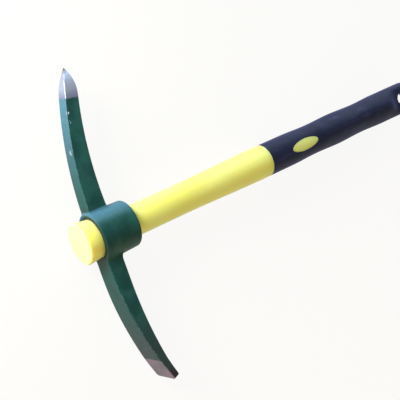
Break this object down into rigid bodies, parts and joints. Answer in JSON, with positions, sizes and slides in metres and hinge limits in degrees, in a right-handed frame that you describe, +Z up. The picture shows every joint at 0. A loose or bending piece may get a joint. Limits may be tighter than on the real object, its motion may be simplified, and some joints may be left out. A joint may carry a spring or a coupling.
{
  "type": "pick axe",
  "caption": "Short pick axe: forged head with a ground pick point and a chisel end, its tapered round eye seated on a flared plastic-covered fibre handle with a soft grip and hanging slot.",
  "frame": {"origin": "centre of the flat end of the handle that stands out in front of the eye", "axes": "+X along the handle from the head end to the butt, +Y towards the pick point, +Z up, square to the plane of the head, with the tool lying flat"},
  "size_m": [0.424, 0.2872, 0.046],
  "materials": {
    "head_paint": "semi-gloss dark green paint on forged steel, with the point and the bevel ground to bare steel",
    "jacket_plastic": "satin lemon yellow moulded plastic",
    "fibre_rod": "drawn glass fibre rod, hidden in the handle",
    "grip_rubber": "soft black rubber with a dull sheen"
  },
  "bodies": {
    "handle": {"handle_jacket": "jacket_plastic", "core_rod": "fibre_rod", "grip_sleeve": "grip_rubber"},
    "head": {"pick_head": "head_paint"}
  },
  "joints": [
    {"name": "head_slide", "type": "slide", "parent": "handle", "child": "head", "axis": [1, 0, 0], "range_m": [0, 0.416]}
  ]
}
